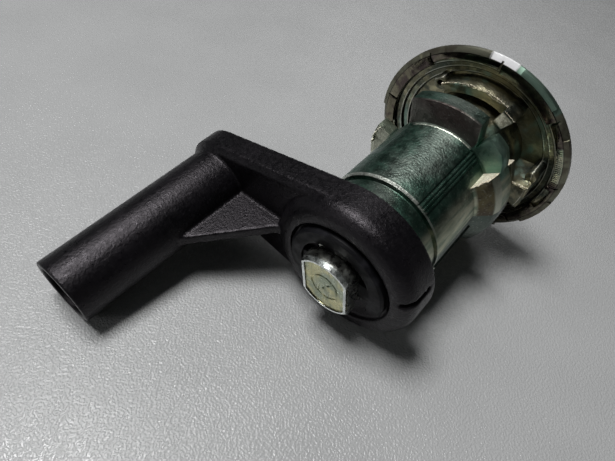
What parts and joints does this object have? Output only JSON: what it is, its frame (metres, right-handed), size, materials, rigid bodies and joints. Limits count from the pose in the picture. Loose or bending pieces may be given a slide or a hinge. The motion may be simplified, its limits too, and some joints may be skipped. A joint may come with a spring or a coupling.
{
  "type": "car door lock cylinder",
  "caption": "Die-cast door lock cylinder with a crimped bright cap, bayonet tongue, keyed plug and a black cranked lever with a rod socket at the tail.",
  "frame": {"origin": "on the lock axis at the front end of the barrel, in the plane of the bayonet tongue's rear face", "axes": "+Y along the lock axis towards the tail, -Y towards the key face, +Z through the middle of the bayonet tongue, +X towards the lever's rod socket at rest"},
  "size_m": [0.0512, 0.0706, 0.036],
  "materials": {
    "zinc_casting": "zinc die casting with a shiny greenish passivated skin",
    "bright_cap": "polished bright-plated sheet",
    "zinc_plug": "zinc die casting, pale passivated",
    "bright_face": "polished bright-plated sheet",
    "black_nylon": "glass-filled nylon, fine grain",
    "black_clip": "satin black",
    "shutter_steel": "plated sheet",
    "pin_steel": "drawn steel",
    "spring_steel": "spring wire",
    "wafer_brass": "stamped sheet"
  },
  "bodies": {
    "housing": {"housing": "zinc_casting", "front_cap": "bright_cap"},
    "plug": {"plug": "zinc_plug", "plug_face_cap": "bright_face", "lever": "black_nylon", "retaining_clip": "black_clip", "return_spring": "spring_steel", "shutter_pin": "pin_steel", "shutter_spring": "spring_steel", "wafer_spring_1": "spring_steel", "wafer_spring_2": "spring_steel", "wafer_spring_3": "spring_steel", "wafer_spring_4": "spring_steel", "wafer_spring_5": "spring_steel", "wafer_spring_6": "spring_steel"},
    "dust_shutter": {"dust_shutter": "shutter_steel"},
    "wafer_1": {"wafer_1": "wafer_brass"},
    "wafer_2": {"wafer_2": "wafer_brass"},
    "wafer_3": {"wafer_3": "wafer_brass"},
    "wafer_4": {"wafer_4": "wafer_brass"},
    "wafer_5": {"wafer_5": "wafer_brass"},
    "wafer_6": {"wafer_6": "wafer_brass"}
  },
  "joints": [
    {"name": "plug_turn", "type": "hinge", "parent": "housing", "child": "plug", "pos_m": [0, 0, 0], "axis": [0, 1, 0], "range_deg": [-70, 70], "stiffness_Nm_per_rad": 0.12},
    {"name": "shutter_swing", "type": "hinge", "parent": "plug", "child": "dust_shutter", "pos_m": [0.00235, -0.01445, 0], "axis": [0, 0, -1], "range_deg": [0, 75], "stiffness_Nm_per_rad": 0.0005, "springref_deg": -28.65},
    {"name": "wafer_1_slide", "type": "slide", "parent": "plug", "child": "wafer_1", "axis": [0, 0, -1], "range_m": [0, 0.0005], "stiffness_N_per_m": 50, "springref_m": -0.0005, "deforming": ["wafer_spring_1"]},
    {"name": "wafer_2_slide", "type": "slide", "parent": "plug", "child": "wafer_2", "axis": [0, 0, -1], "range_m": [0, 0.0005], "stiffness_N_per_m": 50, "springref_m": -0.0005, "deforming": ["wafer_spring_2"]},
    {"name": "wafer_3_slide", "type": "slide", "parent": "plug", "child": "wafer_3", "axis": [0, 0, -1], "range_m": [0, 0.0005], "stiffness_N_per_m": 50, "springref_m": -0.0005, "deforming": ["wafer_spring_3"]},
    {"name": "wafer_4_slide", "type": "slide", "parent": "plug", "child": "wafer_4", "axis": [0, 0, -1], "range_m": [0, 0.0005], "stiffness_N_per_m": 50, "springref_m": -0.0005, "deforming": ["wafer_spring_4"]},
    {"name": "wafer_5_slide", "type": "slide", "parent": "plug", "child": "wafer_5", "axis": [0, 0, -1], "range_m": [0, 0.0005], "stiffness_N_per_m": 50, "springref_m": -0.0005, "deforming": ["wafer_spring_5"]},
    {"name": "wafer_6_slide", "type": "slide", "parent": "plug", "child": "wafer_6", "axis": [0, 0, -1], "range_m": [0, 0.0005], "stiffness_N_per_m": 50, "springref_m": -0.0005, "deforming": ["wafer_spring_6"]}
  ]
}
